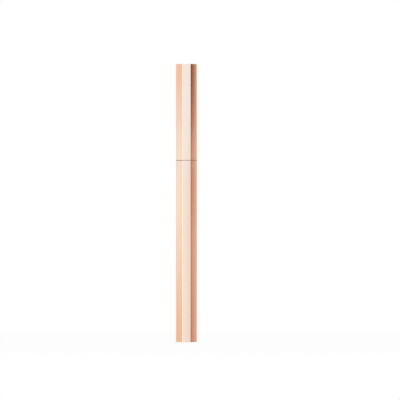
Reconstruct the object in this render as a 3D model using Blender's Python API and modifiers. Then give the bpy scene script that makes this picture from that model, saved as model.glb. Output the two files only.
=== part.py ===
"""Liquid eyeliner pen with a brush tip, closed and standing on its flat base.

An octagonal metal case in two pieces, cap and barrel, lined with moulded plastic. The barrel holds
an ink tank with a loose stirring ball, a comb collector that takes up surplus ink, a fibre feed core
and the black front end with its brush. The cap pulls straight off along +Z.
Metres, +Z up, origin in the middle of the base. Every height below is counted from the base.
"""

import math

import bmesh
import bpy
from mathutils import Vector

# Clearances that every fit takes its size from
FIT = 0.0002  # round a piece that slides or presses into another
SEAT = 0.0003  # under a piece that rests on another
SEAM = 0.0003  # the line that shows between cap and barrel
OVERRUN = 0.001  # how far a cutter passes the face that it opens
WELD = 0.0000001  # points nearer than this are one point

# Octagonal metal case
FACETS = 8
ACROSS_FLATS = 0.0105
BARREL_LENGTH = 0.0907
CAP_LENGTH = 0.048
CASE_WALL = 0.0006
FACET_CURVE = 0.026  # radius that each flat is crowned to
ARRIS_RADIUS = 0.00035  # long edges between two flats
BORE_ARRIS_RADIUS = 0.0002
END_ROUNDING = 0.00012
END_ROUNDING_STEPS = 2
FLAT_STEPS = 4
ARRIS_STEPS = 3

# Inner barrel: tank below, collector chamber above, a partition between them
LINER_ARRIS_RADIUS = 0.0005
TANK_WALL = 0.00065
CHAMBER_WALL = 0.0012
CHAMBER_DEPTH = 0.0352
PARTITION = 0.0015

# Tail plug and stirring ball
PLUG_HEIGHT = 0.0065
PLUG_WALL = 0.0008
PLUG_TOP = 0.001
PLUG_RIB = 0.0002
PLUG_RIB_HEIGHT = 0.0008
PLUG_RIBS = 2
BALL_RADIUS = 0.0015

# Joint collar, which plugs into the barrel and carries the bead that the cap clicks over
COLLAR_WALL = 0.00035
COLLAR_STEP = 0.00045
COLLAR_SPIGOT = 0.006
FLANGE_STEP = 0.00012
FLANGE_HEIGHT = 0.0008
BEAD_STEP = 0.000075
BEAD_HEIGHT = 0.001
BEAD_STEPS = 4
COLLAR_HEIGHT = 0.0038

# Section, the long black cone
SECTION_HEIGHT = 0.01535
SECTION_SEAM = 0.00015
SECTION_TAIL = 0.003
SECTION_WALL = 0.0004
SECTION_LIP = 0.0005
CONE_SETBACK = 0.000125
CONE_BEND_SHARE = 1.2
CONE_STEPS = 6
SHOULDER_HEIGHT = 0.00115
SHOULDER_INSET = 0.0003
SHOULDER_STEPS = 4

# Nib holder, the short black cone
HOLDER_HEIGHT = 0.0035
HOLDER_NECK = 0.0045
HOLDER_BODY = 0.0036
HOLDER_STEP = 0.000225
HOLDER_WALL = 0.00035
HOLDER_COUNTERBORE = 0.0028
HOLDER_TAPER = 0.000325
HOLDER_SWELL = 0.00005
HOLDER_STEPS = 4
HOLDER_LIP = 0.00023
MOUTH_GAP = 0.00015

# Brush: a bonded butt with a flange, and tapered filaments that draw in to a point
BRUSH_LENGTH = 0.0072
BRUSH_FIT = 0.00015
BUTT_FLANGE = 0.0011
BUTT_SOCKET = 0.0007
BUTT_RECESS = 0.0006
BUTT_LAP = 0.00015
STRANDS = 300
STRAND_SIDES = 3
STRAND_PACK_SHARE = 0.38
BUTT_RIM = 0.00003  # bare rim of the butt round the filaments' feet
POINT_LENGTH = 0.00625
POINT_BEND_SHARE = 1.6
POINT_BLUNT_SHARE = 0.03
POINT_STAGGER_SHARE = 0.26
KNOT_SHARES = (0.78, 0.35)
GOLDEN_RATIO = (1 + math.sqrt(5)) / 2

# Comb collector and feed core
CORE_RADIUS = 0.0006
CORE_TAIL = 0.004
CORE_CHAMFER = 0.0001
COLLECTOR_SPIGOT_WALL = 0.0007
COLLECTOR_SPIGOT_TAIL = 0.0012
COMB_CORE_WALL = 0.0011
FINS = 20
FIN_THICKNESS = 0.0004
END_FIN = 0.001
INK_SLOT_WIDTH = 0.0003
INK_SLOT_FLOOR = 0.0005
AIR_SLOT_WIDTH = 0.0009
AIR_SLOT_DEPTH = 0.0008

# Cap lining and the inner cap that seals round the section
CAP_LINER_WALL = 0.0005
CAP_LINER_RECESS = 0.0003
CAP_LINER_STEP = 0.00095
CAP_LINER_TOP = 0.0008
MOUTH_CHAMFER = 0.0002
RIB_GAP = 0.0001
RIB_HEIGHT = 0.0008
INNER_CAP_WALL = 0.0006
INNER_CAP_TOP = 0.0007
INNER_CAP_START = 0.0102
INNER_CAP_HEADROOM = 0.0067
SEAL_LIP_HEIGHT = 0.0008

# Fineness of the turned pieces
VISIBLE_SEGMENTS = 32
HIDDEN_SEGMENTS = 24
COMB_SEGMENTS = 18
CORE_SEGMENTS = 12
BALL_SEGMENTS = 18
BALL_RINGS = 10
FLAT_ANGLE = math.radians(0.1)
SHARP_ANGLE = math.radians(35)
ROUNDED_ANGLE = math.radians(60)

# Heights that follow
CAP_Z = BARREL_LENGTH + SEAM
PEN_LENGTH = CAP_Z + CAP_LENGTH
INNER_BARREL_Z = CASE_WALL + SEAT
INNER_BARREL_TOP = BARREL_LENGTH - SEAT
CHAMBER_Z = BARREL_LENGTH - CHAMBER_DEPTH
PARTITION_Z = CHAMBER_Z - PARTITION
PLUG_TOP_Z = INNER_BARREL_Z + PLUG_HEIGHT
BALL_Z = PLUG_TOP_Z + SEAT + BALL_RADIUS
COLLAR_Z = BARREL_LENGTH - COLLAR_SPIGOT
COLLAR_TOP = BARREL_LENGTH + COLLAR_HEIGHT
SECTION_Z = BARREL_LENGTH - SECTION_TAIL
CONE_Z = COLLAR_TOP + SECTION_SEAM
SECTION_TOP = BARREL_LENGTH + SECTION_HEIGHT
SHOULDER_Z = SECTION_TOP - SHOULDER_HEIGHT
NECK_Z = SECTION_TOP - HOLDER_NECK
HOLDER_BODY_TOP = NECK_Z - SEAT
HOLDER_Z = HOLDER_BODY_TOP - HOLDER_BODY
HOLDER_TOP = SECTION_TOP + HOLDER_HEIGHT
COUNTERBORE_TOP = HOLDER_Z + HOLDER_COUNTERBORE
BUTT_FLANGE_TOP = COUNTERBORE_TOP - SEAT
BUTT_Z = BUTT_FLANGE_TOP - BUTT_FLANGE
BUTT_TOP = HOLDER_TOP - BUTT_RECESS
BRUSH_TIP = HOLDER_TOP + BRUSH_LENGTH
COMB_Z = CHAMBER_Z + SEAT
COMB_TOP = COLLAR_Z - SEAT
COLLECTOR_Z = PARTITION_Z - COLLECTOR_SPIGOT_TAIL
COLLECTOR_TOP = BUTT_Z - SEAT
CORE_Z = COLLECTOR_Z - CORE_TAIL
CORE_TOP = BUTT_Z + BUTT_SOCKET - SEAT
INNER_CAP_Z = BARREL_LENGTH + INNER_CAP_START
INNER_CAP_CEILING = BRUSH_TIP + INNER_CAP_HEADROOM
INNER_CAP_END = INNER_CAP_CEILING + INNER_CAP_TOP
CAP_LINER_Z = CAP_Z + CAP_LINER_RECESS
CAP_LINER_END = PEN_LENGTH - CASE_WALL - SEAT

# Radii that follow, from the case inwards
CASE_APOTHEM = ACROSS_FLATS / 2
BORE_APOTHEM = CASE_APOTHEM - CASE_WALL
LINER_APOTHEM = BORE_APOTHEM - FIT
TANK_RADIUS = LINER_APOTHEM - TANK_WALL
PLUG_RADIUS = TANK_RADIUS - FIT
CHAMBER_RADIUS = LINER_APOTHEM - CHAMBER_WALL
COLLAR_SPIGOT_RADIUS = CHAMBER_RADIUS - FIT
COLLAR_BORE = COLLAR_SPIGOT_RADIUS - COLLAR_WALL
COLLAR_RADIUS = COLLAR_SPIGOT_RADIUS + COLLAR_STEP
FLANGE_RADIUS = COLLAR_RADIUS + FLANGE_STEP
BEAD_RADIUS = COLLAR_RADIUS + BEAD_STEP
SECTION_TAIL_RADIUS = COLLAR_BORE - FIT
SECTION_BORE = SECTION_TAIL_RADIUS - SECTION_WALL
CONE_RADIUS = COLLAR_RADIUS - CONE_SETBACK
HOLDER_BODY_RADIUS = SECTION_BORE - FIT
NECK_RADIUS = HOLDER_BODY_RADIUS - HOLDER_STEP
MOUTH_RADIUS = NECK_RADIUS + MOUTH_GAP
CONE_TIP_RADIUS = MOUTH_RADIUS + SECTION_LIP
COUNTERBORE_RADIUS = HOLDER_BODY_RADIUS - HOLDER_WALL
BUTT_FLANGE_RADIUS = COUNTERBORE_RADIUS - FIT
HOLDER_TIP_RADIUS = NECK_RADIUS - HOLDER_TAPER
BRUSH_BORE = HOLDER_TIP_RADIUS - HOLDER_LIP
BRUSH_RADIUS = BRUSH_BORE - BRUSH_FIT
CORE_BORE = CORE_RADIUS + FIT
COLLECTOR_SPIGOT_RADIUS = CORE_BORE + COLLECTOR_SPIGOT_WALL
PARTITION_HOLE = COLLECTOR_SPIGOT_RADIUS + FIT
COMB_RADIUS = CHAMBER_RADIUS - FIT
COMB_CORE_RADIUS = CORE_BORE + COMB_CORE_WALL
CAP_BORE = LINER_APOTHEM - CAP_LINER_WALL
CAP_CORE_BORE = CAP_BORE - CAP_LINER_STEP
RIB_RADIUS = BEAD_RADIUS + RIB_GAP
INNER_CAP_RADIUS = CAP_BORE - FIT
INNER_CAP_BORE = INNER_CAP_RADIUS - INNER_CAP_WALL


def clear_scene():
    for obj in list(bpy.data.objects):
        bpy.data.objects.remove(obj, do_unlink=True)


def new_collection(name):
    collection = bpy.data.collections.new(name)
    bpy.context.scene.collection.children.link(collection)
    return collection


def principled(name, colour, roughness, metallic=0.0):
    material = bpy.data.materials.new(name)
    material.use_nodes = True
    material.diffuse_color = (*colour, 1)
    shader = material.node_tree.nodes["Principled BSDF"]
    shader.inputs["Base Color"].default_value = (*colour, 1)
    shader.inputs["Roughness"].default_value = roughness
    shader.inputs["Metallic"].default_value = metallic
    return material


def place(name, data, collection):
    obj = bpy.data.objects.new(name, data)
    collection.objects.link(obj)
    return obj


def make_cutter(obj):
    obj.hide_render = True
    obj.display_type = "WIRE"
    return obj


def boolean(obj, other, operation="DIFFERENCE"):
    modifier = obj.modifiers.new(other.name, "BOOLEAN")
    modifier.operation = operation
    modifier.solver = "EXACT"
    modifier.object = other


def round_ends(obj):
    modifier = obj.modifiers.new("end_rounding", "BEVEL")
    modifier.width = END_ROUNDING
    modifier.segments = END_ROUNDING_STEPS
    modifier.limit_method = "ANGLE"
    modifier.angle_limit = ROUNDED_ANGLE


def turned(name, profile, collection, segments, ring=False):
    """Solid of revolution about Z from (radius, height) points that run down its outer side first."""
    count = len(profile)
    edges = [(index, index + 1) for index in range(count - 1)]
    if ring:
        edges.append((count - 1, 0))
    mesh = bpy.data.meshes.new(name)
    mesh.from_pydata([(radius, 0, height) for radius, height in profile], edges, [])
    obj = place(name, mesh, collection)
    screw = obj.modifiers.new("turn", "SCREW")
    screw.axis = "Z"
    screw.angle = math.tau
    screw.steps = segments
    screw.render_steps = segments
    screw.use_merge_vertices = True
    screw.merge_threshold = WELD
    obj.data = evaluated_mesh(obj)
    obj.modifiers.clear()
    open_fans(obj.data)
    return obj


def arc(centre, radii, start, end, steps):
    """Points of an ellipse's arc in the profile plane, both ends included."""
    points = []
    for step in range(steps + 1):
        angle = start + (end - start) * step / steps
        points.append((centre[0] + radii[0] * math.cos(angle), centre[1] + radii[1] * math.sin(angle)))
    return points


def facet_outline(apothem, arris_radius):
    """The crowned octagon: a long arc on each flat, and a short one tangent to it on each corner."""
    curve = FACET_CURVE - CASE_APOTHEM + apothem
    half = math.pi / FACETS
    crown = half - math.asin((curve - apothem) * math.sin(half) / (curve - arris_radius))
    points = []
    for facet in range(FACETS):
        middle = 2 * half * facet
        flat_centre = Vector((math.cos(middle), math.sin(middle))) * (apothem - curve)
        points += arc(flat_centre, (curve, curve), middle - crown, middle + crown, FLAT_STEPS)
        edge = Vector((math.cos(middle + crown), math.sin(middle + crown)))
        corner = flat_centre + edge * (curve - arris_radius)
        radii = (arris_radius, arris_radius)
        points += arc(corner, radii, middle + crown, middle + 2 * half - crown, ARRIS_STEPS)[1:-1]
    return points


def octagonal(name, apothem, arris_radius, low, high, collection):
    """A filled octagonal outline, extruded between two heights and made a mesh."""
    outline = facet_outline(apothem, arris_radius)
    curve = bpy.data.curves.new(name, "CURVE")
    curve.dimensions = "2D"
    curve.fill_mode = "BOTH"
    curve.extrude = (high - low) / 2
    spline = curve.splines.new("POLY")
    spline.points.add(len(outline) - 1)
    for point, place_on_outline in zip(spline.points, outline):
        point.co = (*place_on_outline, 0, 1)
    spline.use_cyclic_u = True
    guide = place(name + "_outline", curve, collection)
    guide.location.z = (low + high) / 2
    mesh = evaluated_mesh(guide)
    mesh.transform(guide.matrix_world)
    bpy.data.objects.remove(guide, do_unlink=True)
    join_flats(mesh)
    return place(name, mesh, collection)


def box(name, low, high, collection):
    size = Vector(high) - Vector(low)
    middle = (Vector(high) + Vector(low)) / 2
    solid = bmesh.new()
    bmesh.ops.create_cube(solid, size=1)
    bmesh.ops.scale(solid, vec=size, verts=solid.verts)
    bmesh.ops.translate(solid, vec=middle, verts=solid.verts)
    mesh = bpy.data.meshes.new(name)
    solid.to_mesh(mesh)
    solid.free()
    return place(name, mesh, collection)


def evaluated_mesh(obj):
    bpy.context.view_layer.update()
    graph = bpy.context.evaluated_depsgraph_get()
    return bpy.data.meshes.new_from_object(obj.evaluated_get(graph))


def join_flats(mesh):
    """Welds an extruded outline's caps to its sides, and makes each cap one face."""
    solid = bmesh.new()
    solid.from_mesh(mesh)
    bmesh.ops.remove_doubles(solid, verts=solid.verts, dist=WELD)
    bmesh.ops.dissolve_limit(solid, angle_limit=FLAT_ANGLE, verts=solid.verts, edges=solid.edges)
    solid.to_mesh(mesh)
    solid.free()


def open_fans(mesh):
    """Makes each flat fan of triangles round the axis one face."""
    solid = bmesh.new()
    solid.from_mesh(mesh)
    hubs = [point for point in solid.verts if point.co.xy.length < WELD]
    bmesh.ops.dissolve_verts(solid, verts=hubs)
    solid.to_mesh(mesh)
    solid.free()


def finish(obj, material, parent):
    """Applies the modifiers, shades round faces smooth, and hangs the piece on what it moves with."""
    mesh = evaluated_mesh(obj)
    obj.modifiers.clear()
    obj.data = mesh
    mesh.name = obj.name
    mesh.shade_smooth()
    mesh.set_sharp_from_angle(angle=SHARP_ANGLE)
    mesh.materials.clear()
    mesh.materials.append(material)
    obj.parent = parent
    obj.location -= parent.location
    return obj


def pivot(name, height, collection):
    empty = place(name, None, collection)
    empty.location.z = height
    return empty


def cone_radius(height):
    """Outer radius of the section's cone, which bends in a little from its base."""
    share = (height - CONE_Z) / (SHOULDER_Z - CONE_Z)
    return CONE_RADIUS - (CONE_RADIUS - CONE_TIP_RADIUS) * share**CONE_BEND_SHARE


def envelope_share(distance):
    """How wide the drawn-in brush is at a distance below its tip, as a share of its full radius."""
    share = min(distance / POINT_LENGTH, 1)
    return POINT_BLUNT_SHARE + (1 - POINT_BLUNT_SHARE) * (1 - (1 - share) ** POINT_BEND_SHARE)


def make_case(name, low, high, bore_low, bore_high, parts, cutters):
    """Half of the metal case: an octagonal tube with one closed end."""
    case = octagonal(name, CASE_APOTHEM, ARRIS_RADIUS, low, high, parts)
    bore = octagonal(name + "_bore", BORE_APOTHEM, BORE_ARRIS_RADIUS, bore_low, bore_high, cutters)
    round_ends(case)
    boolean(case, make_cutter(bore))
    return case


def make_barrel_shell(parts, cutters):
    return make_case("barrel_shell", 0, BARREL_LENGTH, CASE_WALL, BARREL_LENGTH + OVERRUN, parts, cutters)


def make_cap_shell(parts, cutters):
    ceiling = PEN_LENGTH - CASE_WALL
    return make_case("cap_shell", CAP_Z, PEN_LENGTH, CAP_Z - OVERRUN, ceiling, parts, cutters)


def make_inner_barrel(parts, cutters):
    """The barrel's lining: a chamber bored from above, a tank from below, and a hole in the partition."""
    low = INNER_BARREL_Z
    high = INNER_BARREL_TOP
    body = octagonal("inner_barrel", LINER_APOTHEM, LINER_ARRIS_RADIUS, low, high, parts)
    top = high + OVERRUN
    bottom = low - OVERRUN
    profile = [
        (0, top),
        (CHAMBER_RADIUS, top),
        (CHAMBER_RADIUS, CHAMBER_Z),
        (PARTITION_HOLE, CHAMBER_Z),
        (PARTITION_HOLE, PARTITION_Z),
        (TANK_RADIUS, PARTITION_Z),
        (TANK_RADIUS, bottom),
        (0, bottom),
    ]
    boolean(body, make_cutter(turned("inner_barrel_bores", profile, cutters, VISIBLE_SEGMENTS)))
    return body


def make_tail_plug(parts):
    """A cup that closes the tank from below, with two sealing ribs round it."""
    core = PLUG_RADIUS - PLUG_RIB
    bore = core - PLUG_WALL
    profile = [(0, PLUG_TOP_Z), (core, PLUG_TOP_Z)]
    for rib in range(PLUG_RIBS):
        middle = PLUG_TOP_Z - PLUG_HEIGHT * (rib + 1) / (PLUG_RIBS + 1)
        top = middle + PLUG_RIB_HEIGHT / 2
        bottom = middle - PLUG_RIB_HEIGHT / 2
        profile += [(core, top), (PLUG_RADIUS, middle), (core, bottom)]
    profile += [(core, INNER_BARREL_Z), (bore, INNER_BARREL_Z)]
    profile += [(bore, PLUG_TOP_Z - PLUG_TOP), (0, PLUG_TOP_Z - PLUG_TOP)]
    return turned("tail_plug", profile, parts, HIDDEN_SEGMENTS)


def make_stirring_ball(parts):
    """The loose ball, at rest on the tail plug."""
    solid = bmesh.new()
    bmesh.ops.create_uvsphere(solid, u_segments=BALL_SEGMENTS, v_segments=BALL_RINGS, radius=BALL_RADIUS)
    mesh = bpy.data.meshes.new("stirring_ball")
    solid.to_mesh(mesh)
    solid.free()
    ball = place("stirring_ball", mesh, parts)
    ball.location.z = BALL_Z
    return ball


def make_joint_collar(parts):
    """The black collar: a spigot in the barrel, a flange on its mouth, and the click bead at the top."""
    bead_z = COLLAR_TOP - BEAD_HEIGHT
    bead = arc(
        (COLLAR_RADIUS, bead_z + BEAD_HEIGHT / 2),
        (BEAD_STEP, BEAD_HEIGHT / 2),
        math.pi / 2,
        -math.pi / 2,
        BEAD_STEPS,
    )
    profile = [(COLLAR_BORE, COLLAR_TOP)] + bead
    profile += [
        (COLLAR_RADIUS, BARREL_LENGTH + FLANGE_HEIGHT),
        (FLANGE_RADIUS, BARREL_LENGTH + FLANGE_HEIGHT - FLANGE_STEP),
        (FLANGE_RADIUS, BARREL_LENGTH),
        (COLLAR_SPIGOT_RADIUS, BARREL_LENGTH),
        (COLLAR_SPIGOT_RADIUS, COLLAR_Z),
        (COLLAR_BORE, COLLAR_Z),
    ]
    return turned("joint_collar", profile, parts, VISIBLE_SEGMENTS, ring=True)


def make_section(parts):
    """The long black cone, rolled over at its mouth, with a tail that seats in the collar."""
    crest = CONE_TIP_RADIUS - SHOULDER_INSET
    shoulder = arc((crest, SHOULDER_Z), (SHOULDER_INSET, SHOULDER_HEIGHT), math.pi / 2, 0, SHOULDER_STEPS)
    profile = [(MOUTH_RADIUS, SECTION_TOP)] + shoulder
    for step in range(1, CONE_STEPS + 1):
        height = SHOULDER_Z + (CONE_Z - SHOULDER_Z) * step / CONE_STEPS
        profile.append((cone_radius(height), height))
    profile += [
        (SECTION_TAIL_RADIUS, CONE_Z),
        (SECTION_TAIL_RADIUS, SECTION_Z),
        (SECTION_BORE, SECTION_Z),
        (SECTION_BORE, NECK_Z),
        (MOUTH_RADIUS, NECK_Z),
    ]
    return turned("section", profile, parts, VISIBLE_SEGMENTS, ring=True)


def make_nib_holder(parts):
    """The short black cone that grips the brush, with a body held under the section's neck."""
    profile = [(BRUSH_BORE, HOLDER_TOP)]
    for step in range(HOLDER_STEPS + 1):
        share = step / HOLDER_STEPS
        radius = HOLDER_TIP_RADIUS + HOLDER_TAPER * share + HOLDER_SWELL * math.sin(math.pi * share)
        profile.append((radius, HOLDER_TOP - HOLDER_HEIGHT * share))
    profile += [
        (NECK_RADIUS, HOLDER_BODY_TOP),
        (HOLDER_BODY_RADIUS, HOLDER_BODY_TOP),
        (HOLDER_BODY_RADIUS, HOLDER_Z),
        (COUNTERBORE_RADIUS, HOLDER_Z),
        (COUNTERBORE_RADIUS, COUNTERBORE_TOP),
        (BRUSH_BORE, COUNTERBORE_TOP),
    ]
    return turned("nib_holder", profile, parts, VISIBLE_SEGMENTS, ring=True)


def strand_rings(index):
    """Heights and widths of one filament, from the butt up, and the share of the radius it grows at.

    Filaments start in a sunflower pattern and all draw in by the same share, so none meets another.
    """
    radius_share = math.sqrt((index + 0.5) / STRANDS)
    stagger = (index * GOLDEN_RATIO) % 1
    end = POINT_LENGTH * POINT_STAGGER_SHARE * stagger * radius_share
    root = BRUSH_TIP - BUTT_TOP + BUTT_LAP
    levels = [root] + [POINT_LENGTH * share for share in KNOT_SHARES if POINT_LENGTH * share > end]
    return radius_share, levels, end


def knotted_share(distance):
    """The envelope as straight runs between the knots, which every filament follows."""
    knots = [(BRUSH_TIP - BUTT_TOP + BUTT_LAP, 1.0)]
    knots += [(POINT_LENGTH * share, envelope_share(POINT_LENGTH * share)) for share in KNOT_SHARES]
    knots += [(0, envelope_share(0))]
    for (far, far_share), (near, near_share) in zip(knots, knots[1:]):
        if distance >= near:
            return near_share + (far_share - near_share) * (distance - near) / (far - near)
    return knots[-1][1]


def make_strands(cutters):
    """All filaments as closed spikes in one mesh."""
    thickness = STRAND_PACK_SHARE * BRUSH_RADIUS * math.sqrt(math.pi / STRANDS)
    spread = BRUSH_RADIUS - BUTT_RIM - thickness
    solid = bmesh.new()
    for index in range(STRANDS):
        radius_share, levels, end = strand_rings(index)
        turn = math.tau * index / GOLDEN_RATIO**2
        foot = Vector((math.cos(turn), math.sin(turn), 0)) * spread * radius_share
        rings = []
        for distance in levels:
            share = knotted_share(distance)
            centre = foot * share + Vector((0, 0, BRUSH_TIP - distance))
            ring = []
            for side in range(STRAND_SIDES):
                angle = turn + math.tau * side / STRAND_SIDES
                offset = Vector((math.cos(angle), math.sin(angle), 0)) * thickness * share
                ring.append(solid.verts.new(centre + offset))
            rings.append(ring)
        tip = solid.verts.new(foot * knotted_share(end) + Vector((0, 0, BRUSH_TIP - end)))
        solid.faces.new(reversed(rings[0]))
        for side in range(STRAND_SIDES):
            following = (side + 1) % STRAND_SIDES
            for lower, upper in zip(rings, rings[1:]):
                solid.faces.new((lower[side], lower[following], upper[following], upper[side]))
            solid.faces.new((rings[-1][side], rings[-1][following], tip))
    mesh = bpy.data.meshes.new("brush_strands")
    solid.to_mesh(mesh)
    solid.free()
    return place("brush_strands", mesh, cutters)


def make_brush(parts, cutters):
    """The bonded butt of the brush, with its filaments joined to its top face."""
    profile = [
        (0, BUTT_TOP),
        (BRUSH_RADIUS, BUTT_TOP),
        (BRUSH_RADIUS, BUTT_FLANGE_TOP),
        (BUTT_FLANGE_RADIUS, BUTT_FLANGE_TOP),
        (BUTT_FLANGE_RADIUS, BUTT_Z),
        (CORE_BORE, BUTT_Z),
        (CORE_BORE, BUTT_Z + BUTT_SOCKET),
        (0, BUTT_Z + BUTT_SOCKET),
    ]
    brush = turned("brush", profile, parts, HIDDEN_SEGMENTS)
    boolean(brush, make_cutter(make_strands(cutters)), "UNION")
    return brush


def comb_profile():
    """Outer side of the comb, top to bottom: thin fins between two thicker end discs."""
    pitch = (COMB_TOP - COMB_Z - END_FIN) / (FINS + 1)
    gap = pitch - FIN_THICKNESS
    points = [(COMB_RADIUS, COMB_TOP), (COMB_RADIUS, COMB_TOP - END_FIN)]
    height = COMB_TOP - END_FIN
    for _ in range(FINS):
        points += [(COMB_CORE_RADIUS, height), (COMB_CORE_RADIUS, height - gap)]
        points += [(COMB_RADIUS, height - gap), (COMB_RADIUS, height - pitch)]
        height -= pitch
    return points + [(COMB_CORE_RADIUS, height), (COMB_CORE_RADIUS, COMB_Z + FIN_THICKNESS)]


def make_collector(parts, cutters):
    """Comb collector: its fins hold surplus ink, one slot feeds them and a wider one lets air past."""
    nose = COUNTERBORE_RADIUS - FIT
    front = SECTION_BORE - FIT
    seat = COLLAR_BORE - FIT
    front_top = HOLDER_Z - SEAT
    profile = [(CORE_BORE, COLLECTOR_TOP), (nose, COLLECTOR_TOP), (nose, front_top), (front, front_top)]
    profile += [(front, SECTION_Z - SEAT), (seat, SECTION_Z - SEAT), (seat, COMB_TOP)]
    profile += comb_profile()
    profile += [
        (COMB_RADIUS, COMB_Z + FIN_THICKNESS),
        (COMB_RADIUS, COMB_Z),
        (COLLECTOR_SPIGOT_RADIUS, COMB_Z),
        (COLLECTOR_SPIGOT_RADIUS, COLLECTOR_Z),
        (CORE_BORE, COLLECTOR_Z),
    ]
    collector = turned("collector", profile, parts, COMB_SEGMENTS, ring=True)
    low = COMB_Z - OVERRUN
    high = COMB_TOP - END_FIN / 2
    ink_floor = CORE_BORE + INK_SLOT_FLOOR
    air_floor = COMB_RADIUS - AIR_SLOT_DEPTH
    rim = COMB_RADIUS + OVERRUN
    ink = box("ink_slot", (-rim, -INK_SLOT_WIDTH / 2, low), (-ink_floor, INK_SLOT_WIDTH / 2, high), cutters)
    air = box("air_slot", (air_floor, -AIR_SLOT_WIDTH / 2, low), (rim, AIR_SLOT_WIDTH / 2, high), cutters)
    boolean(collector, make_cutter(ink))
    boolean(collector, make_cutter(air))
    return collector


def make_feed_core(parts):
    """The fibre rod that leads ink from the tank to the brush."""
    chamfered = CORE_RADIUS - CORE_CHAMFER
    profile = [
        (0, CORE_TOP),
        (chamfered, CORE_TOP),
        (CORE_RADIUS, CORE_TOP - CORE_CHAMFER),
        (CORE_RADIUS, CORE_Z + CORE_CHAMFER),
        (chamfered, CORE_Z),
        (0, CORE_Z),
    ]
    return turned("feed_core", profile, parts, CORE_SEGMENTS)


def make_cap_liner(parts, cutters):
    """The cap's lining, with a rib that clicks under the collar's bead and a seat for the inner cap."""
    body = octagonal("cap_liner", LINER_APOTHEM, LINER_ARRIS_RADIUS, CAP_LINER_Z, CAP_LINER_END, parts)
    rib_top = COLLAR_TOP - BEAD_HEIGHT - RIB_GAP
    rib_crest = rib_top - RIB_HEIGHT / 2
    seat_z = INNER_CAP_END + SEAT
    profile = [
        (0, CAP_LINER_END - CAP_LINER_TOP),
        (CAP_CORE_BORE, CAP_LINER_END - CAP_LINER_TOP),
        (CAP_CORE_BORE, seat_z),
        (CAP_BORE, seat_z),
        (CAP_BORE, rib_top),
        (RIB_RADIUS, rib_crest),
        (CAP_BORE, rib_top - RIB_HEIGHT),
        (CAP_BORE, CAP_LINER_Z + MOUTH_CHAMFER),
        (CAP_BORE + MOUTH_CHAMFER + OVERRUN, CAP_LINER_Z - OVERRUN),
        (0, CAP_LINER_Z - OVERRUN),
    ]
    boolean(body, make_cutter(turned("cap_liner_bore", profile, cutters, VISIBLE_SEGMENTS)))
    return body


def make_inner_cap(parts):
    """The sealing cup over the brush, whose lip closes on the section's cone."""
    lip = cone_radius(INNER_CAP_Z) + FIT
    lip_top = INNER_CAP_Z + SEAL_LIP_HEIGHT
    profile = [
        (0, INNER_CAP_END),
        (INNER_CAP_RADIUS - MOUTH_CHAMFER, INNER_CAP_END),
        (INNER_CAP_RADIUS, INNER_CAP_END - MOUTH_CHAMFER),
        (INNER_CAP_RADIUS, INNER_CAP_Z),
        (lip, INNER_CAP_Z),
        (lip, lip_top - SEAL_LIP_HEIGHT / 2),
        (INNER_CAP_BORE, lip_top),
        (INNER_CAP_BORE, INNER_CAP_CEILING),
        (0, INNER_CAP_CEILING),
    ]
    return turned("inner_cap", profile, parts, HIDDEN_SEGMENTS)


def build():
    clear_scene()
    parts = new_collection("liquid_eyeliner_pen")
    cutters = new_collection("cutters")
    barrel = pivot("barrel", 0, parts)
    ball = pivot("ball_slide", BALL_Z, parts)
    cap = pivot("cap_slide", CAP_Z, parts)

    rose_metal = (0.96, 0.7, 0.56)
    black = (0.012, 0.012, 0.013)
    natural = (0.72, 0.72, 0.69)
    finish(make_barrel_shell(parts, cutters), principled("anodised_barrel", rose_metal, 0.3, 1.0), barrel)
    finish(make_inner_barrel(parts, cutters), principled("black_lining", black, 0.45), barrel)
    finish(make_tail_plug(parts), principled("plug_plastic", natural, 0.5), barrel)
    finish(make_stirring_ball(parts), principled("ball_steel", (0.6, 0.6, 0.61), 0.15, 1.0), ball)
    finish(make_collector(parts, cutters), principled("collector_plastic", natural, 0.4), barrel)
    finish(make_feed_core(parts), principled("core_fibre", (0.8, 0.79, 0.75), 0.9), barrel)
    finish(make_joint_collar(parts), principled("collar_gloss", black, 0.15), barrel)
    finish(make_section(parts), principled("section_gloss", black, 0.15), barrel)
    finish(make_nib_holder(parts), principled("holder_gloss", black, 0.2), barrel)
    finish(make_brush(parts, cutters), principled("brush_filament", (0.03, 0.03, 0.03), 0.8), barrel)
    finish(make_cap_shell(parts, cutters), principled("anodised_cap", rose_metal, 0.3, 1.0), cap)
    finish(make_cap_liner(parts, cutters), principled("cap_lining", black, 0.45), cap)
    finish(make_inner_cap(parts), principled("inner_cap_plastic", natural, 0.5), cap)


build()
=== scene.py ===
"""Looks of the liquid eyeliner pen: satin rose-gold case, black front end, pale plastic and ink inside.

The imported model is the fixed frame. The case, the black front end, the brush and the turned pieces
inside are built again in the same place with a finer surface. The two linings keep their shape and
only get their finish. Metres, +Z up, base on z = 0.
"""

import math
import random

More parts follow.
